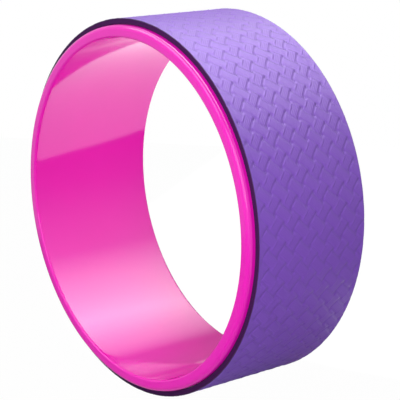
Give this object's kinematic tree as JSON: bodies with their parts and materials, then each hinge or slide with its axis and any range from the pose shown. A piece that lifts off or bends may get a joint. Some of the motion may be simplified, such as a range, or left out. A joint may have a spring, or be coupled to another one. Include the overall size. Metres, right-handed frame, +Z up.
{
  "type": "yoga wheel",
  "caption": "Open wheel for back bends and stretching: a smooth rigid plastic hoop with rounded rims, wrapped in a cushioned non-slip mat with a raised basket-weave grip.",
  "frame": {"origin": "centre of the wheel, on the hoop's axis and half way between the two rim faces", "axes": "+Y along the hoop's axis towards the rear rim, +Z up with the wheel standing on its tread, +X across the wheel opposite the mat's seam"},
  "size_m": [0.33, 0.128, 0.33],
  "materials": {
    "hoop_plastic": "glossy moulded pink plastic",
    "film": "pale adhesive film",
    "foam": "matt dark aubergine closed-cell foam",
    "skin": "satin purple elastomer with a raised basket-weave grip"
  },
  "bodies": {
    "root": {"hoop": "hoop_plastic", "adhesive_film": "film", "foam_layer": "foam", "grip_skin": "skin"}
  },
  "joints": []
}
